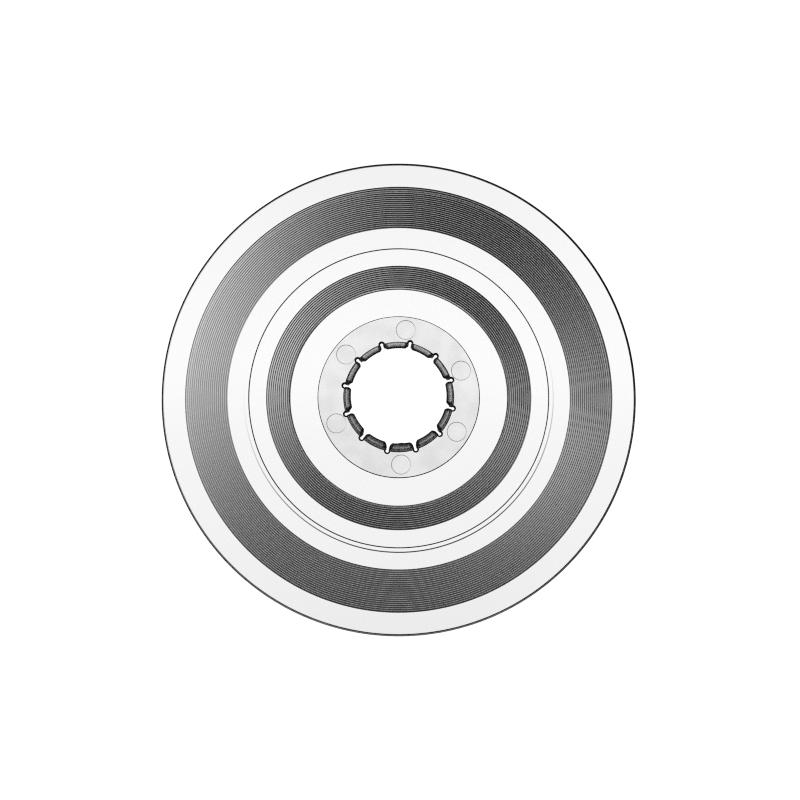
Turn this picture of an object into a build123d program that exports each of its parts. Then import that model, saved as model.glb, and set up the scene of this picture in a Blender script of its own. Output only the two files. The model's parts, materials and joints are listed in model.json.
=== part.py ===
"""Clear moulded spoke protector disc for a bicycle's rear wheel, with a sprung collar round its bore.

Frame: +Z is the disc's axis, pointing away from the spokes. The origin is on the axis, in the plane that
the back of the rim rests on. Angles run anticlockwise from +X. Lengths are in millimetres.

The disc is a terraced, shallow cone: a flat rim, a ribbed conical web, two steps, and a thick flat hub.
Twelve leaf fingers stand up from the edge of the bore and lean inwards. They spring outwards as the
collar is pushed over a hub's 34.9 mm boss.
"""

from build123d import *

import os
from math import atan2, degrees, radians, tan

# Driving dimensions
OUTER_DIAMETER = 165.0
WALL = 1.45
HUB_THICKNESS = 2.0
FINGER_COUNT = 12
FINGER_HEIGHT = 6.2  # above the front of the hub
FINGER_START_ANGLE = 3.0
GRIP_RADIUS = 16.45  # inside the lips, with the fingers at rest

# Radii of the terraces
OUTER_RADIUS = OUTER_DIAMETER / 2
HUB_RADIUS = 27.8
BORE_EDGE_RADIUS = 18.6
INNER_STEP_FRONT = 38.0
INNER_STEP_BACK = 37.7
OUTER_STEP_FRONT = 53.25
OUTER_STEP_BACK = OUTER_STEP_FRONT - WALL

# How far each terrace rises from its outside to its inside, and the steps between them
CONE_RISE = 3.45
OUTER_STEP_HEIGHT = 0.25
PLATEAU_RISE = 1.15
INNER_STEP_HEIGHT = 1.0
PLATEAU_WALL = 1.1  # the terrace between the steps is thinner than the rest
STEP_DRAFT = 0.12  # how far a crisp step leans outwards at its foot
OUTER_STEP_DRAFT = 0.6  # the same for the low outer step
BACK_STEP_DRAFT = 0.3  # and for the outer step's back
HUB_DRAFT = 0.25  # and for the hub's edge

# Corners
SHARP = 0.16
SOFT = 0.42
HUB_CORNER = 0.1
RIM_BEVEL = 0.85  # of both edges of the rim, seen from above
RIM_BEVEL_HEIGHT = 0.5
RIM_CORNER = 0.15

# Ring grooves in the back: shallow Vs, with a narrow flat land between neighbours
OUTER_BAND_START = 59.35
OUTER_BAND_GROOVES = 21
OUTER_BAND_PITCH = 0.715
INNER_BAND_START = 38.05
INNER_BAND_GROOVES = 11
INNER_BAND_PITCH = 0.722
GROOVE_LAND = 0.05
GROOVE_FACE_ANGLE = 33.5  # of both faces of a V, from the horizontal
OUTER_BAND_END = OUTER_BAND_START + OUTER_BAND_GROOVES * OUTER_BAND_PITCH

# Shallow round ejector pin marks on the front of the hub. The pins aren't evenly spaced.
EJECTOR_ANGLES = (23, 84, 141, 203, 272, 329)
EJECTOR_PITCH_RADIUS = 23.4
EJECTOR_RADIUS = 3.4
EJECTOR_DEPTH = 0.12

# Slots between the fingers, with a bevel round their front edge
SLOT_WIDTH = 1.06
SLOT_END_RADIUS = 19.6  # the round end of a slot, in the hub
SLOT_BEVEL = 0.62
SLOT_BEVEL_DEPTH = 0.7

# One finger: a leaf on a round root, with a lip inside its tip
LEAF_OUTER_ROOT = 18.85
LEAF_INNER_ROOT = 17.65
LEAF_OUTER_TIP = 18.6
LEAF_INNER_TIP = 16.95
ROOT_HALF_WIDTH = 4.13
TIP_HALF_WIDTH = 3.9
TIP_BEVEL = 0.6  # of the tip's two corners
TIP_BEVEL_DEPTH = 0.7
LIP_LENGTH = 0.9
LIP_TOP = 0.75  # from the tip down to the lip's flat
LIP_RAMP = 0.55
TIP_EDGE = 0.35

# The root turns in a socket in the bore's edge, which stands for the plastic that bends there
ROOT_RADIUS = (LEAF_OUTER_ROOT - LEAF_INNER_ROOT) / 2
SOCKET_CLEARANCE = 0.06
SOCKET_LIP_RISE = 0.2  # the socket's upper lip, above the hinge axis
SOCKET_FLARE_RADIUS = 19.4  # where the bore's flare meets the front of the hub

# Heights and slopes that follow from the ones above
CONE_SLOPE = CONE_RISE / (OUTER_BAND_END - OUTER_STEP_FRONT)
PLATEAU_SLOPE = PLATEAU_RISE / (OUTER_STEP_FRONT - INNER_STEP_FRONT)
CONE_TOP = WALL + CONE_RISE
PLATEAU_OUTER = CONE_TOP + OUTER_STEP_HEIGHT
PLATEAU_INNER = PLATEAU_OUTER + PLATEAU_RISE
WEB_FRONT = PLATEAU_INNER + INNER_STEP_HEIGHT
HUB_BACK = WEB_FRONT - WALL
HUB_FRONT = HUB_BACK + HUB_THICKNESS
FINGER_TIP = HUB_FRONT + FINGER_HEIGHT

# The hinge axis of each finger lies across its root, half way through the hub's thickness
HINGE_RADIUS = (LEAF_OUTER_ROOT + LEAF_INNER_ROOT) / 2
HINGE_HEIGHT = HUB_BACK + HUB_THICKNESS / 2
SOCKET_RADIUS = ROOT_RADIUS + SOCKET_CLEARANCE

CUT_MARGIN = 1.0  # how far a cutting tool runs past what it cuts
SAME_POINT = 1e-6


def cone_back(radius):
    """Height of the back of the conical web."""
    return CONE_SLOPE * (OUTER_BAND_END - radius)


def plateau_back(radius):
    """Height of the back of the sloping terrace between the two steps."""
    return PLATEAU_OUTER - PLATEAU_WALL + PLATEAU_SLOPE * (OUTER_STEP_FRONT - radius)


def ring_grooves(start, count, pitch, back):
    """Outline points of a band of V grooves in the back, from the inside out."""
    points = []
    width = pitch - GROOVE_LAND
    slope = tan(radians(GROOVE_FACE_ANGLE))
    for groove in range(count):
        inner = start + groove * pitch
        outer = inner + width
        to_apex = (width + (back(outer) - back(inner)) / slope) / 2
        apex = (inner + to_apex, back(inner) + to_apex * slope)
        points += [(inner, back(inner)), apex, (outer, back(outer))]
    return points


def rounded(face, corners):
    """The face with each (x, y) corner rounded to its own radius."""
    for (x, y), radius in corners:
        at_corner = [v for v in face.vertices() if abs(v.X - x) < SAME_POINT and abs(v.Y - y) < SAME_POINT]
        face = fillet(at_corner, radius)
    return face


def disc_section():
    """Half section of the disc, drawn with x as the radius and y as the height."""
    rim_edge_front = (OUTER_RADIUS, WALL - RIM_BEVEL_HEIGHT)
    rim_edge_back = (OUTER_RADIUS, RIM_BEVEL_HEIGHT)
    outer_foot = (OUTER_STEP_FRONT + OUTER_STEP_DRAFT, CONE_TOP - CONE_SLOPE * OUTER_STEP_DRAFT)
    outer_brow = (OUTER_STEP_FRONT, PLATEAU_OUTER)
    inner_foot = (INNER_STEP_FRONT + STEP_DRAFT, PLATEAU_INNER - PLATEAU_SLOPE * STEP_DRAFT)
    inner_brow = (INNER_STEP_FRONT, WEB_FRONT)
    hub_foot = (HUB_RADIUS + HUB_DRAFT, WEB_FRONT)
    hub_brow = (HUB_RADIUS, HUB_FRONT)
    inner_step_back_top = (INNER_STEP_BACK, HUB_BACK)
    inner_step_back_foot = (INNER_STEP_BACK + STEP_DRAFT, plateau_back(INNER_STEP_BACK + STEP_DRAFT))
    outer_step_back_top = (OUTER_STEP_BACK, plateau_back(OUTER_STEP_BACK))
    outer_step_back_radius = OUTER_STEP_BACK + BACK_STEP_DRAFT
    outer_step_back_foot = (outer_step_back_radius, cone_back(outer_step_back_radius))

    socket_lip = HINGE_HEIGHT + SOCKET_LIP_RISE

    front = [
        rim_edge_front,
        (OUTER_RADIUS - RIM_BEVEL, WALL),
        (OUTER_BAND_END, WALL),
        outer_foot,
        outer_brow,
        inner_foot,
        inner_brow,
        hub_foot,
        hub_brow,
        (SOCKET_FLARE_RADIUS, HUB_FRONT),
        (HINGE_RADIUS + SOCKET_RADIUS, socket_lip),
        (BORE_EDGE_RADIUS, socket_lip),
    ]
    back = [
        (BORE_EDGE_RADIUS, HUB_BACK),
        inner_step_back_top,
        inner_step_back_foot,
        *ring_grooves(INNER_BAND_START, INNER_BAND_GROOVES, INNER_BAND_PITCH, plateau_back),
        outer_step_back_top,
        outer_step_back_foot,
        *ring_grooves(OUTER_BAND_START, OUTER_BAND_GROOVES, OUTER_BAND_PITCH, cone_back),
        (OUTER_BAND_END, 0),
        (OUTER_RADIUS - RIM_BEVEL, 0),
        rim_edge_back,
    ]
    corners = [
        (rim_edge_back, RIM_CORNER),
        (rim_edge_front, RIM_CORNER),
        (outer_foot, SOFT),
        (outer_brow, SOFT),
        (inner_foot, SHARP),
        (inner_brow, SHARP),
        (hub_foot, HUB_CORNER),
        (hub_brow, HUB_CORNER),
        (inner_step_back_top, SOFT),
        (inner_step_back_foot, SHARP),
        (outer_step_back_top, SHARP),
        (outer_step_back_foot, SHARP),
    ]
    return rounded(make_face(Polyline(*front, *back, close=True)), corners)


def turned(shape, angle):
    """The shape turned about the disc's axis."""
    return Rot(0, 0, angle) * shape


def slot_cutter():
    """Round-ended slot along +X that opens into the bore, flared at the front of the hub."""
    half_width = SLOT_WIDTH / 2
    end_centre = SLOT_END_RADIUS - half_width
    start = BORE_EDGE_RADIUS - CUT_MARGIN
    slot = SlotCenterToCenter(end_centre - start, SLOT_WIDTH)
    middle = (start + end_centre) / 2
    bevel_bottom = HUB_FRONT - SLOT_BEVEL_DEPTH
    flare_angle = degrees(atan2(SLOT_BEVEL, SLOT_BEVEL_DEPTH))
    straight = extrude(Pos(middle, 0, HUB_BACK - CUT_MARGIN) * slot, HUB_THICKNESS + 2 * CUT_MARGIN)
    flare = extrude(Pos(middle, 0, bevel_bottom) * slot, SLOT_BEVEL_DEPTH + SLOT_BEVEL, taper=-flare_angle)
    return straight + flare


def hinge_rod(radius, half_length):
    """Rod along the hinge axis of the finger on +X."""
    return Pos(HINGE_RADIUS, 0, HINGE_HEIGHT) * Rot(90, 0, 0) * Cylinder(radius, 2 * half_length)


def ejector_mark():
    """Tool for the ejector pin mark on +X."""
    depth = EJECTOR_DEPTH + CUT_MARGIN
    centre_height = HUB_FRONT - EJECTOR_DEPTH + depth / 2
    return Pos(EJECTOR_PITCH_RADIUS, 0, centre_height) * Cylinder(EJECTOR_RADIUS, depth)


def finger_angles():
    """Angle of each finger's middle."""
    return [FINGER_START_ANGLE + finger * 360 / FINGER_COUNT for finger in range(FINGER_COUNT)]


def disc():
    """The whole disc without its fingers."""
    body = revolve(Plane.XZ * disc_section(), Axis.Z)
    half_pitch = 180 / FINGER_COUNT
    socket = hinge_rod(SOCKET_RADIUS, ROOT_HALF_WIDTH + SOCKET_CLEARANCE)
    tools = [turned(slot_cutter(), angle + half_pitch) for angle in finger_angles()]
    tools += [turned(socket, angle) for angle in finger_angles()]
    tools += [turned(ejector_mark(), angle) for angle in EJECTOR_ANGLES]
    return body - tools


def leaf_section():
    """Section of a leaf finger, drawn with x as the radius and y as the height."""
    lip_top = FINGER_TIP - LIP_TOP
    lip_bottom = lip_top - LIP_LENGTH
    return make_face(
        Polyline(
            (LEAF_INNER_ROOT, HINGE_HEIGHT),
            (LEAF_OUTER_ROOT, HINGE_HEIGHT),
            (LEAF_OUTER_TIP, FINGER_TIP - TIP_EDGE),
            (LEAF_OUTER_TIP - TIP_EDGE, FINGER_TIP),
            (LEAF_INNER_TIP, FINGER_TIP),
            (GRIP_RADIUS, lip_top),
            (GRIP_RADIUS, lip_bottom),
            (LEAF_INNER_TIP, lip_bottom - LIP_RAMP),
            close=True,
        )
    )


def finger_outline():
    """Front outline of the finger on +X: x is across the finger and y is the height."""
    return make_face(
        Polyline(
            (-ROOT_HALF_WIDTH, HINGE_HEIGHT),
            (ROOT_HALF_WIDTH, HINGE_HEIGHT),
            (TIP_HALF_WIDTH, FINGER_TIP - TIP_BEVEL_DEPTH),
            (TIP_HALF_WIDTH - TIP_BEVEL, FINGER_TIP),
            (TIP_BEVEL - TIP_HALF_WIDTH, FINGER_TIP),
            (-TIP_HALF_WIDTH, FINGER_TIP - TIP_BEVEL_DEPTH),
            close=True,
        )
    )


def finger():
    """The finger on +X: part of a ring, trimmed to a tapering leaf, on its round root."""
    sweep_angle = 360 / FINGER_COUNT
    ring = turned(revolve(Plane.XZ * leaf_section(), Axis.Z, sweep_angle), -sweep_angle / 2)
    across = Plane(origin=(0, 0, 0), x_dir=(0, 1, 0), z_dir=(1, 0, 0))
    trim = extrude(across * finger_outline(), LEAF_OUTER_ROOT + CUT_MARGIN)
    return (ring & trim) + hinge_rod(ROOT_RADIUS, ROOT_HALF_WIDTH)


def main():
    os.makedirs("parts", exist_ok=True)
    export_step(disc(), "parts/guard_disc.step")
    leaf = finger()
    for number, angle in enumerate(finger_angles(), start=1):
        export_step(turned(leaf, angle), f"parts/hub_finger_{number:02d}.step")
    print(f"hinge axes at radius {HINGE_RADIUS:.3f} and height {HINGE_HEIGHT:.3f}")
    print(f"back of the hub {HUB_BACK:.3f}, front {HUB_FRONT:.3f}, finger tips {FINGER_TIP:.3f}")


if __name__ == "__main__":
    main()
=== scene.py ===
"""Looks of the clear spoke protector disc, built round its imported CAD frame.

The disc is one finely faceted turned shell with real V grooves. Each of the twelve fingers is a leaf that
bends at its root. Lengths are in metres, in the CAD's own frame.
"""

import json
import math

import bmesh
import bpy
import numpy as np
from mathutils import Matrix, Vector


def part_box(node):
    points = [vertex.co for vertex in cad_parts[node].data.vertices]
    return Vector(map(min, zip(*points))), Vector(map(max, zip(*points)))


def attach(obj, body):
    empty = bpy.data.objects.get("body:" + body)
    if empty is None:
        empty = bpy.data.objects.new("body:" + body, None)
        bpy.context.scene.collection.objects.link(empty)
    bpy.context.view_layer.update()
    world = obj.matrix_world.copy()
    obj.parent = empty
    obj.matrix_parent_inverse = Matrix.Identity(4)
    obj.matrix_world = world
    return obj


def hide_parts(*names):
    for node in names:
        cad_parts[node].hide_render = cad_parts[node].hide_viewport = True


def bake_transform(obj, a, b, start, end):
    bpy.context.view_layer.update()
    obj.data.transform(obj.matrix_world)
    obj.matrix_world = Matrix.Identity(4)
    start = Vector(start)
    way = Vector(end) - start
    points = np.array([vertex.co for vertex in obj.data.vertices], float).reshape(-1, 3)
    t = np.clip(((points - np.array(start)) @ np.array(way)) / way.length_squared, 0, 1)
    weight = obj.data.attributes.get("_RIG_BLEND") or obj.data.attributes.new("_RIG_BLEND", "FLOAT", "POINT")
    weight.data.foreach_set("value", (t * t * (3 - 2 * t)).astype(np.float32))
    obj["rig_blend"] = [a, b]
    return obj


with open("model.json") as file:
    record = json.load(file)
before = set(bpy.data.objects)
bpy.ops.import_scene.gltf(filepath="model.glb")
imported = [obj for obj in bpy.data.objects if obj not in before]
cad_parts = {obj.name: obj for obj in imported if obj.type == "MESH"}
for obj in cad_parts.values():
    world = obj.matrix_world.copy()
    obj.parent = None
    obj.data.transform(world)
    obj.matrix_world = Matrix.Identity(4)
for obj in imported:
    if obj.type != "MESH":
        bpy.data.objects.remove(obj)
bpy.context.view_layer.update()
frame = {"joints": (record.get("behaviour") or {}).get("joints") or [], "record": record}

# ---------------------------------------------------------------- sizes, worked out from the frame

MOUNTS = {mount["name"]: mount for mount in frame["record"]["mounts"]}
DISC_LOW, DISC_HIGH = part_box("guard_disc")
FINGER_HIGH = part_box("hub_finger_01")[1]
RIM_RADIUS = DISC_HIGH.x
MM = RIM_RADIUS / 82.5  # one millimetre of the CAD model

REST_PLANE = DISC_LOW.z
HUB_FRONT = DISC_HIGH.z
HUB_BACK = MOUNTS["hub_back"]["pos_m"][2]
FINGER_TIP = FINGER_HIGH.z
GRIP_RADIUS = MOUNTS["hub_grip"]["dims"]["r_mm"] * MM
HINGE_X, HINGE_Y, HINGE_HEIGHT = frame["joints"][0]["pos_m"]
FINGER_COUNT = len(frame["joints"])
FIRST_FINGER = math.atan2(HINGE_Y, HINGE_X)

WALL = 1.45 * MM
BORE_RADIUS = 18.85 * MM
HUB_RADIUS = 27.8 * MM
INNER_STEP = 38.0 * MM
OUTER_STEP = 53.25 * MM
CONE_END = 74.365 * MM
INNER_STEP_BACK = 37.7 * MM
OUTER_STEP_BACK = OUTER_STEP - WALL
PLATEAU_WALL = 1.1 * MM
STEP_DRAFT = 0.12 * MM  # how far a crisp step leans outwards at its foot
OUTER_STEP_DRAFT = 0.6 * MM  # the same for the low outer step
BACK_STEP_DRAFT = 0.3 * MM  # and for the outer step in the back
HUB_DRAFT = 0.25 * MM  # and for the hub's edge
OUTER_STEP_HEIGHT = 0.25 * MM
INNER_STEP_HEIGHT = 1.0 * MM

WEB_FRONT = HUB_BACK + WALL
PLATEAU_FRONT = WEB_FRONT - INNER_STEP_HEIGHT  # at its inner edge
PLATEAU_RISE = 1.15 * MM
CONE_RISE = PLATEAU_FRONT - PLATEAU_RISE - OUTER_STEP_HEIGHT - WALL - REST_PLANE
CONE_SLOPE = CONE_RISE / (CONE_END - OUTER_STEP)
PLATEAU_SLOPE = PLATEAU_RISE / (OUTER_STEP - INNER_STEP)

OUTER_BAND = dict(start=59.35 * MM, count=21, pitch=0.715 * MM)
INNER_BAND = dict(start=38.05 * MM, count=11, pitch=0.722 * MM)
GROOVE_LAND = 0.05 * MM  # flat left between two grooves
GROOVE_FACE = math.radians(33.5)
RIM_BEVEL = 0.85 * MM
RIM_BEVEL_HEIGHT = 0.5 * MM

SLOT_HALF_WIDTH = 0.53 * MM
SLOT_END = 19.6 * MM
SLOT_BEVEL = 0.62 * MM  # of the slots' front edges
SLOT_BEVEL_DEPTH = 0.7 * MM

SHARP_CORNER = 0.16 * MM  # radii of the disc's corners
SOFT_CORNER = 0.42 * MM
HUB_CORNER = 0.1 * MM
CONE_END_CORNER = 8.0 * MM  # in front, where the cone runs out into the rim
RIM_BEVEL_CORNER = 0.3 * MM
RIM_CORNER = 0.15 * MM
BORE_BACK_CORNER = 0.12 * MM
SLOT_BEVEL_CORNER = 0.08 * MM

# ---------------------------------------------------------------- outlines

STEP_ANGLE = math.radians(18)  # of one facet of a rounded corner
SUPPORT = 0.05 * MM  # a facet edge this far outside an arc keeps the flat beside it shading flat


def corner_points(before, corner, after, radius):
    """The arc that rounds one corner of an outline, with a support point at each end."""
    if radius == 0:
        return [corner]
    back = (before - corner) / np.linalg.norm(before - corner)
    ahead = (after - corner) / np.linalg.norm(after - corner)
    half = math.acos(np.clip(back @ ahead, -1, 1)) / 2
    reach = radius / math.tan(half)
    start, end = corner + back * reach, corner + ahead * reach
    centre = corner + (back + ahead) / np.linalg.norm(back + ahead) * radius / math.sin(half)
    first = math.atan2(*(start - centre)[::-1])
    turn = math.atan2(*(end - centre)[::-1]) - first
    turn = (turn + math.pi) % (2 * math.pi) - math.pi
    steps = max(2, math.ceil(abs(turn) / STEP_ANGLE))
    angles = [first + turn * step / steps for step in range(steps + 1)]
    arc = [centre + radius * np.array([math.cos(a), math.sin(a)]) for a in angles]
    return [start + back * SUPPORT, *arc, end + ahead * SUPPORT]


def closed_outline(corners):
    """Points of a closed outline from (radius, height, corner radius) corners."""
    places = [np.array(corner[:2]) for corner in corners]
    points = []
    for index, corner in enumerate(corners):
        after = places[(index + 1) % len(places)]
        points += corner_points(places[index - 1], places[index], after, corner[2])
    return np.array(points)


# ---------------------------------------------------------------- the disc

SECTORS = FINGER_COUNT
SECTOR_COLUMNS = 36
COLUMNS = SECTORS * SECTOR_COLUMNS
SLOT_ARC_COLUMNS = 6  # on each half of a slot's round end
SLOT_SIDE_COLUMNS = 2
EDGE_ZONE = SLOT_BEVEL + 0.12 * MM  # rings this close to the bore's edge follow its shape
FAN_RADIUS = 20.8 * MM  # outside it, the facets are evenly spaced round the disc

MARK_ANGLES = (23, 84, 141, 203, 272, 329)  # in degrees, only roughly even round the hub
MARK_PITCH_RADIUS = 23.4 * MM
MARK_RADIUS = 3.4 * MM
MARK_DEPTH = 0.12 * MM
MARK_WALL = 0.18 * MM  # width of a mark's sloping wall
MARK_FLOOR_EDGE = 0.3 * MM  # to the extra ring that keeps a mark's floor shading flat
MARK_COLUMNS = 64
DISC_SHARP_ANGLE = math.radians(20)  # between faces that meet in a crisp edge


def cone_back(radius):
    """Height of the outer cone's back."""
    return REST_PLANE + CONE_SLOPE * (CONE_END - radius)


def plateau_back(radius):
    """Height of the terrace's back."""
    return PLATEAU_FRONT - PLATEAU_WALL + PLATEAU_SLOPE * (INNER_STEP - radius)


def groove_corners(band, back):
    """Corners of a band of V grooves, from the outside in, with faces of one slope."""
    corners = []
    width = band["pitch"] - GROOVE_LAND
    slope = math.tan(GROOVE_FACE)
    for groove in reversed(range(band["count"])):
        inner = band["start"] + groove * band["pitch"]
        outer = inner + width
        to_apex = (width + (back(outer) - back(inner)) / slope) / 2
        apex = (inner + to_apex, back(inner) + to_apex * slope, 0)
        corners += [(outer, back(outer), 0), apex, (inner, back(inner), 0)]
    return corners


def disc_outline():
    """Section of the disc, from the flat inside the hub's edge, round the rim and back to the bore's edge."""
    cone_top = cone_back(OUTER_STEP) + WALL
    plateau_outer = plateau_back(OUTER_STEP) + PLATEAU_WALL
    outer_back_foot = OUTER_STEP_BACK + BACK_STEP_DRAFT
    inner_back_foot = INNER_STEP_BACK + STEP_DRAFT
    return closed_outline([
        (HUB_RADIUS, HUB_FRONT, HUB_CORNER),
        (HUB_RADIUS + HUB_DRAFT, WEB_FRONT, HUB_CORNER),
        (INNER_STEP, WEB_FRONT, SHARP_CORNER),
        (INNER_STEP + STEP_DRAFT, PLATEAU_FRONT - PLATEAU_SLOPE * STEP_DRAFT, SHARP_CORNER),
        (OUTER_STEP, plateau_outer, SOFT_CORNER),
        (OUTER_STEP + OUTER_STEP_DRAFT, cone_top - CONE_SLOPE * OUTER_STEP_DRAFT, SOFT_CORNER),
        (CONE_END, REST_PLANE + WALL, CONE_END_CORNER),
        (RIM_RADIUS - RIM_BEVEL, REST_PLANE + WALL, RIM_BEVEL_CORNER),
        (RIM_RADIUS, REST_PLANE + WALL - RIM_BEVEL_HEIGHT, RIM_CORNER),
        (RIM_RADIUS, REST_PLANE + RIM_BEVEL_HEIGHT, RIM_CORNER),
        (RIM_RADIUS - RIM_BEVEL, REST_PLANE, RIM_BEVEL_CORNER),
        (CONE_END, REST_PLANE, 0),
        *groove_corners(OUTER_BAND, cone_back),
        (outer_back_foot, cone_back(outer_back_foot), SHARP_CORNER),
        (OUTER_STEP_BACK, plateau_back(OUTER_STEP_BACK), SHARP_CORNER),
        *groove_corners(INNER_BAND, plateau_back),
        (inner_back_foot, plateau_back(inner_back_foot), SHARP_CORNER),
        (INNER_STEP_BACK, HUB_BACK, SOFT_CORNER),
        (FAN_RADIUS, HUB_BACK, 0),
        (BORE_RADIUS, HUB_BACK, BORE_BACK_CORNER),
        (BORE_RADIUS, HUB_FRONT - SLOT_BEVEL_DEPTH, SLOT_BEVEL_CORNER),
        (BORE_RADIUS + SLOT_BEVEL, HUB_FRONT, SLOT_BEVEL_CORNER),
    ])


def slot_sector(offset):
    """Plan of the bore's edge for one sector with its slot on +X: finger edge, slot side, round end and back.

    The offset moves the slot's edge outwards by that much, and the finger's edge by half of it."""
    half_width = SLOT_HALF_WIDTH + offset
    bore = BORE_RADIUS + offset / 2
    end_centre = SLOT_END - SLOT_HALF_WIDTH
    slot_angle = math.asin(half_width / bore)
    edge_columns = SECTOR_COLUMNS // 2 - SLOT_ARC_COLUMNS - SLOT_SIDE_COLUMNS
    edge_angles = np.linspace(-math.pi / SECTORS, -slot_angle, edge_columns + 1)
    points = [(bore * math.cos(a), bore * math.sin(a)) for a in edge_angles]
    side = np.linspace(points[-1][0], end_centre, SLOT_SIDE_COLUMNS + 1)[1:]
    points += [(x, -half_width) for x in side]
    round_angles = np.linspace(-math.pi / 2, 0, SLOT_ARC_COLUMNS + 1)[1:]
    points += [(end_centre + half_width * math.cos(a), half_width * math.sin(a)) for a in round_angles]
    mirrored = [(x, -y) for x, y in reversed(points[1:-1])]
    return np.array(points + mirrored)


def turned_plan(points, angle):
    """Plan points turned about the axis."""
    c, s = math.cos(angle), math.sin(angle)
    return points @ np.array([[c, s], [-s, c]])


def bore_plan(offset):
    """Plan of the whole bore edge with its slots, one point per column."""
    half = math.pi / SECTORS
    sector = slot_sector(offset)
    return np.vstack([turned_plan(sector, FIRST_FINGER + half + 2 * half * n) for n in range(SECTORS)])


def circle_plan(radius):
    """Evenly spaced plan points of a circle, in step with bore_plan."""
    angles = FIRST_FINGER + np.arange(COLUMNS) * 2 * math.pi / COLUMNS
    return radius * np.stack([np.cos(angles), np.sin(angles)], axis=1)


def ring_plan(radius):
    """Plan of one ring of the disc. Rings near the bore follow its slots."""
    if radius >= FAN_RADIUS:
        return circle_plan(radius)
    if radius <= BORE_RADIUS + EDGE_ZONE:
        return bore_plan(radius - BORE_RADIUS)
    share = (radius - BORE_RADIUS - EDGE_ZONE) / (FAN_RADIUS - BORE_RADIUS - EDGE_ZONE)
    return (1 - share) * bore_plan(EDGE_ZONE) + share * circle_plan(FAN_RADIUS)


def mark_ring(angle, radius):
    """Plan of one ring of an ejector pin mark."""
    round_angles = np.arange(MARK_COLUMNS) * 2 * math.pi / MARK_COLUMNS
    centre = MARK_PITCH_RADIUS * np.array([math.cos(angle), math.sin(angle)])
    return centre + radius * np.stack([np.cos(round_angles), np.sin(round_angles)], axis=1)


DULL_SHADED_EDGE = "dull_painted_shade_edge"  # attribute that is 1 where the mould's cut edges left the plastic dull, and where the plastic's colour is painted near black as painted shade


def new_mesh():
    """An empty mesh with the attribute for dull edges with painted shade."""
    mesh = bmesh.new()
    mesh.verts.layers.float.new(DULL_SHADED_EDGE)
    return mesh


def add_ring(mesh, plan, height, dull_shaded_share=0.0):
    """Adds a ring of vertices at one height, with its share of dull edge and painted shade, and returns them.
    """
    ring = [mesh.verts.new((x, y, height)) for x, y in plan]
    for vertex in ring:
        vertex[mesh.verts.layers.float[DULL_SHADED_EDGE]] = dull_shaded_share
    return ring


def join_rings(mesh, first, second):
    """Faces between two rings with the same number of vertices."""
    for index in range(len(first)):
        mesh.faces.new((first[index - 1], first[index], second[index], second[index - 1]))


def ring_edges(mesh, ring):
    """The edges of a closed ring, made where they aren't there yet."""
    pairs = [(ring[i - 1], ring[i]) for i in range(len(ring))]
    return [mesh.edges.get(pair) or mesh.edges.new(pair) for pair in pairs]


def add_mark(mesh, angle):
    """A shallow round ejector pin mark. Returns its outer ring, which is a hole in the hub's front."""
    rings = [
        add_ring(mesh, mark_ring(angle, MARK_RADIUS), HUB_FRONT),
        add_ring(mesh, mark_ring(angle, MARK_RADIUS - MARK_WALL), HUB_FRONT - MARK_DEPTH),
        add_ring(mesh, mark_ring(angle, MARK_RADIUS - MARK_FLOOR_EDGE), HUB_FRONT - MARK_DEPTH),
    ]
    for outer, inner in zip(rings, rings[1:]):
        join_rings(mesh, outer, inner)
    mesh.faces.new(rings[-1])
    return rings[0]


def mesh_object(name, mesh, sharp_angle):
    """Blender object from a bmesh, smooth apart from its sharp edges."""
    bmesh.ops.recalc_face_normals(mesh, faces=mesh.faces)
    if mesh.calc_volume(signed=True) < 0:
        bmesh.ops.reverse_faces(mesh, faces=mesh.faces)
    data = bpy.data.meshes.new(name)
    mesh.to_mesh(data)
    mesh.free()
    data.shade_smooth()
    data.set_sharp_from_angle(angle=sharp_angle)
    piece = bpy.data.objects.new(name, data)
    bpy.context.scene.collection.objects.link(piece)
    return piece


def build_disc():
    """The whole disc: a turned shell with slots at the bore, grooves in its back, and marks on its hub."""
    mesh = new_mesh()
    # the slots' front bevels are dull, and painted near black as painted shade
    dull_shaded_radius = BORE_RADIUS + SLOT_BEVEL
    dull_shaded_height = HUB_BACK + SUPPORT
    rings = [
        add_ring(mesh, ring_plan(radius), height, float(radius < dull_shaded_radius and height > dull_shaded_height))
        for radius, height in disc_outline()
    ]
    for outer, inner in zip(rings, rings[1:]):
        join_rings(mesh, outer, inner)
    holes = [add_mark(mesh, math.radians(angle)) for angle in MARK_ANGLES]
    edges = [edge for ring in (rings[0], rings[-1], *holes) for edge in ring_edges(mesh, ring)]
    bmesh.ops.triangle_fill(mesh, use_beauty=True, edges=edges, normal=(0, 0, 1))
    return mesh_object("guard_disc_shell", mesh, DISC_SHARP_ANGLE)


# ---------------------------------------------------------------- the fingers

SEAM = 0.01 * MM  # between a finger's root and the disc
LEAF_INNER_ROOT = 17.65 * MM
LEAF_INNER_TIP = 16.95 * MM
LEAF_OUTER_TIP = 18.6 * MM
TIP_BEVEL = 0.6 * MM  # of the tip's two corners
TIP_BEVEL_DEPTH = 0.7 * MM
TIP_CHAMFER = 0.35 * MM  # of the tip's outer edge
LIP_DROP = 0.75 * MM  # from the tip down to the lip's gripping face
LIP_HEIGHT = 0.9 * MM
LIP_RAMP = 0.55 * MM  # below the lip, where it runs back into the leaf
LEAF_SOFT_CORNER = 0.3 * MM
LEAF_FINE_CORNER = 0.12 * MM
SHELF_CORNER = 0.05 * MM
BORE_CORNER = 0.5 * MM  # seen from above
SIDE_TAPER = 0.15 * MM
SIDE_ROUND = 0.45 * MM
FLAT_COLUMNS = 12
FLAT_SUPPORT = 0.94  # columns out to this share of the flat's width keep its shading flat
ROUND_STEPS = 5
ROUND_LAST = math.radians(80)  # the rounded side ends in a thin flat
GATE_FINGER = "hub_finger_10"  # the one with the trimmed gate's nub
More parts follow.
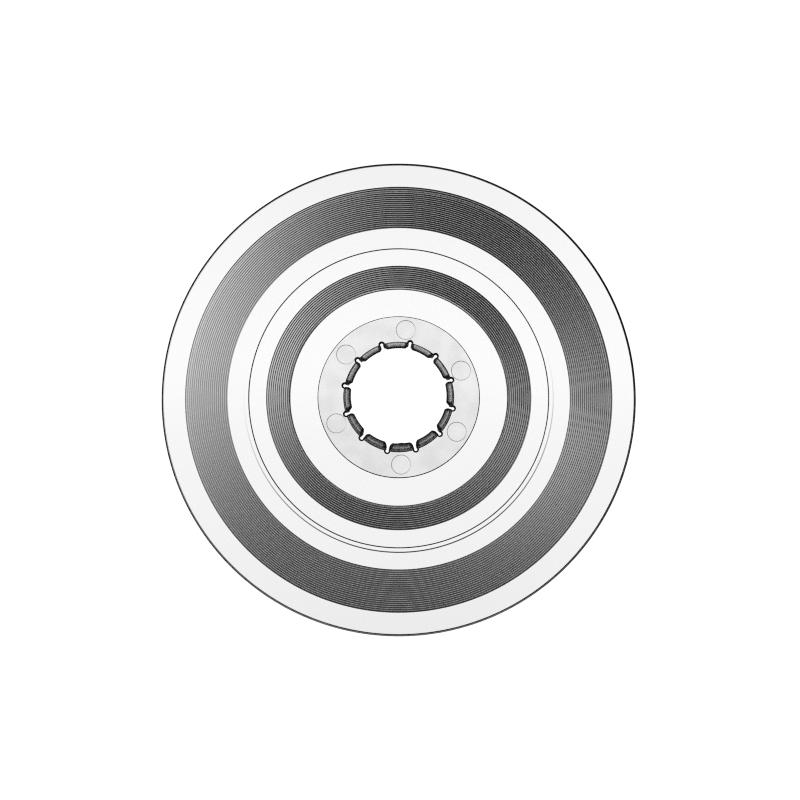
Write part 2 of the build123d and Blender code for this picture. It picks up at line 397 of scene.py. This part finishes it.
NUB_HEIGHT = 0.25 * MM
NUB_HALF_WIDTH = 1.0 * MM
FINGER_SHARP_ANGLE = math.radians(35)  # between faces that meet in a crisp edge


def finger_outline():
    """Section of a finger: a block level with the hub, a leaf, and a lip inside its tip."""
    lean = (BORE_RADIUS - LEAF_OUTER_TIP) / (FINGER_TIP - HINGE_HEIGHT)
    shelf = BORE_RADIUS - lean * (HUB_FRONT - HINGE_HEIGHT)
    lip_top = FINGER_TIP - LIP_DROP
    lip_bottom = lip_top - LIP_HEIGHT
    return closed_outline([
        (BORE_RADIUS - SEAM, HUB_BACK, 0),
        (BORE_RADIUS - SEAM, HUB_FRONT, 0),
        (shelf, HUB_FRONT, SHELF_CORNER),
        (LEAF_OUTER_TIP, FINGER_TIP - TIP_CHAMFER, LEAF_FINE_CORNER),
        (LEAF_OUTER_TIP - TIP_CHAMFER, FINGER_TIP, LEAF_FINE_CORNER),
        (LEAF_INNER_TIP, FINGER_TIP, LEAF_FINE_CORNER),
        (GRIP_RADIUS, lip_top, LEAF_FINE_CORNER),
        (GRIP_RADIUS, lip_bottom, LEAF_FINE_CORNER),
        (LEAF_INNER_TIP, lip_bottom - LIP_RAMP, LEAF_SOFT_CORNER),
        (LEAF_INNER_ROOT, HINGE_HEIGHT, LEAF_SOFT_CORNER),
        (LEAF_INNER_ROOT, HUB_BACK, LEAF_SOFT_CORNER),
    ])


def share_up(height, bottom, top):
    """0 at the bottom, 1 at the top, and straight between."""
    return min(1.0, max(0.0, (height - bottom) / (top - bottom)))


def corner_cut(depth, radius):
    """How far a round corner has turned in, at a depth past its start."""
    depth = min(radius, max(0.0, depth))
    return radius - math.sqrt(radius**2 - depth**2)


def finger_half_width(radius, height):
    """Half the finger's width at one point of its section, before its side is rounded."""
    gap = SLOT_HALF_WIDTH + SIDE_TAPER * share_up(height, HUB_FRONT, FINGER_TIP)
    gap += TIP_BEVEL * share_up(height, FINGER_TIP - TIP_BEVEL_DEPTH, FINGER_TIP)
    gap += corner_cut(GRIP_RADIUS + BORE_CORNER - radius, BORE_CORNER)
    return radius * math.tan(math.pi / FINGER_COUNT) - gap / math.cos(math.pi / FINGER_COUNT)


def finger_columns():
    """Places across a finger: its share of the flat middle, how far it is round the side, and how thin."""
    middle = np.linspace(-FLAT_SUPPORT, FLAT_SUPPORT, FLAT_COLUMNS - 1)
    flat = [(share, 0.0, 1.0) for share in [-1, *middle, 1]]
    turns = [ROUND_LAST * (step + 1) / ROUND_STEPS for step in range(ROUND_STEPS)]
    right = [(1.0, math.sin(turn), math.cos(turn)) for turn in turns]
    left = [(-share, -across, thin) for share, across, thin in reversed(right)]
    return left + flat + right


def build_finger(name, angle, nub):
    """One finger, swept across its width. Above the hub, its sides are rounded.

    The nub is how far a trimmed gate stands out of the middle of its inner edge."""
    mesh = new_mesh()
    dull_shaded = mesh.verts.layers.float[DULL_SHADED_EDGE]
    outline = finger_outline()
    middle_root = (BORE_RADIUS + LEAF_INNER_ROOT) / 2
    middle_tip = (LEAF_OUTER_TIP + LEAF_INNER_TIP) / 2
    # the finger's rounded sides and inner tip are dull, and painted near black as painted shade
    dull_shaded_radius = LEAF_INNER_TIP + SUPPORT
    columns = []
    for share, across, thin in finger_columns():
        column = []
        for radius, height in outline:
            middle = middle_root + (middle_tip - middle_root) * share_up(height, HINGE_HEIGHT, FINGER_TIP)
            thinning = 1 - (1 - thin) * share_up(height, HUB_FRONT, HUB_FRONT + SIDE_ROUND)
            side = (finger_half_width(radius, height) - SIDE_ROUND) * share + SIDE_ROUND * across
            turn = angle + math.asin(side / radius)
            reach = middle + (radius - middle) * thinning
            if radius < dull_shaded_radius:
                reach -= nub * math.exp(-((side / NUB_HALF_WIDTH) ** 2))
            column.append(mesh.verts.new((reach * math.cos(turn), reach * math.sin(turn), height)))
            column[-1][dull_shaded] = float(abs(share) == 1 or radius < dull_shaded_radius)
        columns.append(column)
    for left, right in zip(columns, columns[1:]):
        join_rings(mesh, left, right)
    mesh.faces.new(columns[0])
    mesh.faces.new(columns[-1])
    return mesh_object(name, mesh, FINGER_SHARP_ANGLE)


# ---------------------------------------------------------------- materials


class Tree:
    """A material's node tree, with short ways to add nodes."""

    def __init__(self, owner):
        owner.use_nodes = True
        self.tree = owner.node_tree
        self.tree.nodes.clear()

    def add(self, kind, inputs=None, **settings):
        """Adds a node, sets its properties, and fills or links its inputs."""
        node = self.tree.nodes.new("ShaderNode" + kind)
        for key, value in settings.items():
            setattr(node, key, value)
        for key, value in (inputs or {}).items():
            if isinstance(value, bpy.types.NodeSocket):
                self.tree.links.new(value, node.inputs[key])
            else:
                node.inputs[key].default_value = value
        return node

    def math(self, operation, first, second=0.0, third=0.0):
        """Arithmetic on up to three values."""
        return self.add("Math", {0: first, 1: second, 2: third}, operation=operation).outputs[0]

    def ramp(self, value, low, high, to_low=0.0, to_high=1.0, linear=False):
        """Smooth step of a value between two limits, or a straight one."""
        inputs = {"Value": value, "From Min": low, "From Max": high, "To Min": to_low, "To Max": to_high}
        kind = "LINEAR" if linear else "SMOOTHSTEP"
        return self.add("MapRange", inputs, interpolation_type=kind).outputs[0]

    def mix(self, factor, first, second):
        """The first value where the factor is 0, and the second where it is 1."""
        return self.add("Mix", {"Factor": factor, "A": first, "B": second}, data_type="FLOAT").outputs[0]


CLEAR_TONE = 1.0
IOR = 1.57  # near that of clear polycarbonate
SHADOW_COLOUR = (0.93, 0.93, 0.93, 1)  # of the light that passes the plastic into its shadow
FINGER_ROUGHNESS = 0.5

FROST_FADE = 0.2 * MM  # half the width over which the frosting ends
FROST_ROUGHNESS = 0.12
FROST_TONES = (0.8, 0.9)
CLOUD_SCALE = 140.0  # of the slow change between those tones
CLOUD_LIMITS = (0.3, 0.7)
GRAIN_SCALE = 2200.0
GRAIN_BUMP = 0.25
GRAIN_DEPTH = 0.02 * MM

WAVE_SCALE = 55.0  # of the faint waves that the flowing plastic left
WAVE_BUMP = 0.1
WAVE_DEPTH = 0.1 * MM

# dull cut edges: rougher, and painted near black as painted shade for the dark edges of clear plastic
DULL_ROUGHNESS = 0.4
PAINTED_EDGE_SHADE_TONE = 0.03


def radius_of(tree, position):
    """Distance of a point from its space's Z axis, such as the disc's axis."""
    flat = tree.add("VectorMath", {0: position, 1: (1, 1, 0)}, operation="MULTIPLY").outputs[0]
    return tree.add("VectorMath", {0: flat}, operation="LENGTH").outputs["Value"]


def noise(tree, position, scale, detail):
    """Soft random values round 0.5, fixed to the object."""
    return tree.add("TexNoise", {"Vector": position, "Scale": scale, "Detail": detail}).outputs["Fac"]


def clear_plastic(name, roughness, frosted_radius):
    """Clear moulded plastic with faint flow waves and dull cut edges painted near black as painted shade,
    finely frosted near the disc's axis.
    """
    material = bpy.data.materials.new(name)
    tree = Tree(material)
    position = tree.add("TexCoord").outputs["Object"]
    radius = radius_of(tree, position)

    frost = tree.ramp(radius, frosted_radius - FROST_FADE, frosted_radius + FROST_FADE, 1.0, 0.0)
    grain = noise(tree, position, GRAIN_SCALE, 3.0)
    waves = noise(tree, position, WAVE_SCALE, 2.0)
    clouds = noise(tree, position, CLOUD_SCALE, 2.0)
    dull_shaded = tree.add("Attribute", attribute_name=DULL_SHADED_EDGE).outputs["Fac"]
    frost_roughness = tree.math("MULTIPLY_ADD", grain, FROST_ROUGHNESS, FROST_ROUGHNESS / 2)
    whole_roughness = tree.mix(dull_shaded, tree.mix(frost, roughness, frost_roughness), DULL_ROUGHNESS)
    frost_tone = tree.ramp(clouds, *CLOUD_LIMITS, *FROST_TONES)
    # painted shade: near-black colour on the dull edges
    tone = tree.mix(dull_shaded, tree.mix(frost, CLEAR_TONE, frost_tone), PAINTED_EDGE_SHADE_TONE)
    colour = tree.add("CombineColor", {"Red": tone, "Green": tone, "Blue": tone}).outputs[0]

    relief = tree.math("MULTIPLY", grain, frost)
    fine = tree.add("Bump", {"Height": relief, "Strength": GRAIN_BUMP, "Distance": GRAIN_DEPTH}).outputs[0]
    bump = tree.add(
        "Bump", {"Height": waves, "Strength": WAVE_BUMP, "Distance": WAVE_DEPTH, "Normal": fine}
    ).outputs[0]

    glass = tree.add(
        "BsdfPrincipled",
        {
            "Base Color": colour,
            "Roughness": whole_roughness,
            "IOR": IOR,
            "Transmission Weight": 1.0,
            "Normal": bump,
        },
    ).outputs[0]
    through = tree.add("BsdfTransparent", {"Color": SHADOW_COLOUR}).outputs[0]
    shadow = tree.add("LightPath").outputs["Is Shadow Ray"]
    mixed = tree.add("MixShader", {"Fac": shadow, 1: glass, 2: through}).outputs[0]
    tree.add("OutputMaterial", {"Surface": mixed})
    return material


# ---------------------------------------------------------------- the studio

FLOOR_GAP = 0.05 * MM
FLOOR_HALF = 4.0
PALE = 1.085  # brightness of the floor and the backdrop
DARK = 0.006  # brightness of what the camera's bright field leaves out
CORE = 0.17  # sine of the angle off the camera's axis inside which the field is at its full brightness
CORE_END = 0.22
CORE_SHIFT = (0.005, -0.045)
BEHIND_LIGHT = 0.08  # share of the brightness on the camera's own side, and how far off its axis it reaches
BEHIND = 0.3
BEHIND_END = 0.4
RING_START = 0.25  # the wide, uneven part of the field is a ring, with a dark gap inside it
RING_LIT = 0.31
FIELD_FULL = 0.17  # the ring's brightness falls from here
FIELD_END = 0.54
FIELD_FALL = 2.9  # power of that fall
FIELD_STRETCH = 0.804  # the field is wider across the picture than up it
FIELD_SHIFT = (0.09, -0.034)  # and its middle is a little to the right
FALL_LEAN = (2.0, -1.1)  # the field falls faster behind the object's right and near sides
FALL_LIMITS = (0.8, 5.0)
AHEAD_FADE = 0.5  # cosine of the angle off the camera's axis, over which the field fades at its side
SHADE_MIDDLE = 0.02  # share of the light missing under the disc's middle line
SHADE_EDGE = 0.09  # and under its near and far edges
SHADE_NEAR = 0.055  # and under its near half
SHADE_NEAR_FADE = (-0.3, 0.2)  # which fades out between these shares of the disc's radius


def bright_field(tree, ray, fall):
    """Share of the full brightness that a ray finds, by its direction as the camera sees it.

    The core round the camera's axis is full and lights flat plastic from behind. The ring outside it is
    uneven and dimmer, and lights the groove faces, which bend rays that far. Steep edges bend rays further,
    so they look dark. The camera's own side is dim, and what the camera sees directly is full."""
    seen = tree.add(
        "VectorTransform", {"Vector": ray}, vector_type="VECTOR", convert_from="WORLD", convert_to="CAMERA"
    ).outputs[0]
    placed = tree.add(
        "VectorMath",
        {0: seen, 1: (FIELD_STRETCH, 1, 0), 2: (-FIELD_SHIFT[0] * FIELD_STRETCH, -FIELD_SHIFT[1], 0)},
        operation="MULTIPLY_ADD",
    ).outputs[0]
    off_axis = tree.add("VectorMath", {0: placed}, operation="LENGTH").outputs["Value"]
    wide = tree.math("POWER", tree.ramp(off_axis, FIELD_FULL, FIELD_END, 1.0, 0.0, linear=True), fall)
    ahead = tree.add("SeparateXYZ", {"Vector": seen}).outputs["Z"]
    ring = tree.math("MULTIPLY", wide, tree.ramp(radius_of(tree, seen), RING_START, RING_LIT))
    moved = tree.add("VectorMath", {0: seen, 1: (*CORE_SHIFT, 0)}, operation="SUBTRACT").outputs[0]
    core = tree.ramp(radius_of(tree, moved), CORE, CORE_END, 1.0, 0.0)
    lit_ahead = tree.math("MULTIPLY", tree.math("MAXIMUM", ring, core), tree.ramp(ahead, 0.0, AHEAD_FADE))
    near_axis = tree.ramp(radius_of(tree, seen), BEHIND, BEHIND_END, BEHIND_LIGHT, 0.0)
    lit_behind = tree.math("MULTIPLY", near_axis, tree.ramp(ahead, -AHEAD_FADE, 0.0, 1.0, 0.0))
    direct = tree.add("LightPath").outputs["Is Camera Ray"]
    return tree.math("MAXIMUM", tree.math("MAXIMUM", lit_ahead, lit_behind), direct)


def shade_under_disc(tree, place):
    """The sweep is a little dimmer under the disc, mostly on its near side."""
    across = tree.add("SeparateXYZ", {"Vector": place}).outputs["Y"]
    from_middle = tree.math("MULTIPLY", across, 1 / RIM_RADIUS)
    squared = tree.math("MULTIPLY", from_middle, from_middle)
    shade = tree.math("MULTIPLY_ADD", squared, SHADE_EDGE, SHADE_MIDDLE)
    shade = tree.math("ADD", shade, tree.ramp(from_middle, *SHADE_NEAR_FADE, SHADE_NEAR, 0.0))
    radius = radius_of(tree, place)
    inside = tree.math("LESS_THAN", radius, RIM_RADIUS)
    outside = tree.math("GREATER_THAN", radius, BORE_RADIUS)
    covered = tree.math("MULTIPLY", inside, outside)
    return tree.math("MULTIPLY_ADD", tree.math("MULTIPLY", shade, covered), -1.0, 1.0)


def floor_material():
    """Pale backlit sweep."""
    material = bpy.data.materials.new("pale_sweep")
    tree = Tree(material)
    incoming = tree.add("NewGeometry").outputs["Incoming"]
    ray = tree.add("VectorMath", {0: incoming, "Scale": -1.0}, operation="SCALE").outputs[0]
    place = tree.add("NewGeometry").outputs["Position"]
    lean = tree.add("VectorMath", {0: place, 1: (*FALL_LEAN, 0)}, operation="DOT_PRODUCT").outputs["Value"]
    fall = tree.math("MULTIPLY_ADD", lean, 1 / RIM_RADIUS, FIELD_FALL)
    fall = tree.add("Clamp", {"Value": fall, "Min": FALL_LIMITS[0], "Max": FALL_LIMITS[1]}).outputs[0]
    field = bright_field(tree, ray, fall)
    pale = tree.math("MULTIPLY", shade_under_disc(tree, place), PALE)
    strength = tree.mix(field, DARK, pale)
    glow = tree.add("Emission", {"Color": (1, 1, 1, 1), "Strength": strength}).outputs[0]
    tree.add("OutputMaterial", {"Surface": glow})
    return material


def build_floor():
    """The sweep under the disc, as part of the stage."""
    mesh = bmesh.new()
    bmesh.ops.create_grid(mesh, x_segments=1, y_segments=1, size=FLOOR_HALF)
    data = bpy.data.meshes.new("floor")
    mesh.to_mesh(data)
    mesh.free()
    floor = bpy.data.objects.new("floor", data)
    floor.location.z = REST_PLANE - FLOOR_GAP
    bpy.context.scene.collection.objects.link(floor)
    data.materials.append(floor_material())


def build_world():
    """The same bright field as the floor's, on both sides of the object, and dark everywhere else."""
    world = bpy.data.worlds.new("studio")
    bpy.context.scene.world = world
    tree = Tree(world)
    direction = tree.add("TexCoord").outputs["Generated"]
    field = bright_field(tree, direction, FIELD_FALL)
    strength = tree.mix(field, DARK, PALE)
    dome = tree.add("Background", {"Color": (1, 1, 1, 1), "Strength": strength}).outputs[0]
    tree.add("OutputWorld", {"Surface": dome})


CAMERA_ELEVATION = math.radians(85.6)
CAMERA_DISTANCE = 1.03
CAMERA_LENS = 133.2
CAMERA_AIM = (0.45 * MM, -0.5 * MM, 0.7 * MM)
CAMERA_REACH = 20.0


def build_camera():
    """A long lens almost straight above the disc."""
    camera = bpy.data.cameras.new("camera")
    camera.lens = CAMERA_LENS
    camera.clip_end = CAMERA_REACH
    holder = bpy.data.objects.new("camera", camera)
    back = np.array([0, -math.cos(CAMERA_ELEVATION), math.sin(CAMERA_ELEVATION)])
    holder.location = np.array(CAMERA_AIM) + back * CAMERA_DISTANCE
    holder.rotation_euler = (math.pi / 2 - CAMERA_ELEVATION, 0, 0)
    bpy.context.scene.collection.objects.link(holder)
    bpy.context.scene.camera = holder


LIGHT_BOUNCES = 24
GLOSSY_BOUNCES = 12
FILTER_WIDTH = 1.2  # in pixels, narrow enough for the fine grooves


def set_light_paths():
    """Clear plastic needs many bounces, and plain tones need a plain view transform."""
    scene = bpy.context.scene
    scene.cycles.max_bounces = LIGHT_BOUNCES
    scene.cycles.transmission_bounces = LIGHT_BOUNCES
    scene.cycles.glossy_bounces = GLOSSY_BOUNCES
    scene.cycles.transparent_max_bounces = LIGHT_BOUNCES
    scene.cycles.use_denoising = False  # a denoiser would smear the fine grooves
    scene.cycles.filter_width = FILTER_WIDTH
    scene.view_settings.view_transform = "Standard"


# ---------------------------------------------------------------- the whole scene

BEND_START = HUB_FRONT - 0.3 * MM  # a finger bends between these heights
BEND_END = HUB_FRONT + 3.0 * MM

disc = build_disc()
disc.data.materials.append(clear_plastic("clear_disc", roughness=0.0, frosted_radius=HUB_RADIUS))
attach(disc, "disc")
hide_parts("guard_disc")

finger_plastic = clear_plastic("clear_finger", roughness=FINGER_ROUGHNESS, frosted_radius=0.0)
for joint in frame["joints"]:
    body = joint["child"]
    hinge_x, hinge_y, _ = joint["pos_m"]
    nub = NUB_HEIGHT if body == GATE_FINGER else 0.0
    leaf = build_finger(body + "_leaf", math.atan2(hinge_y, hinge_x), nub)
    leaf.data.materials.append(finger_plastic)
    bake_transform(leaf, "disc", body, start=(hinge_x, hinge_y, BEND_START), end=(hinge_x, hinge_y, BEND_END))
    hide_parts(body)

build_floor()
build_world()
build_camera()
set_light_paths()
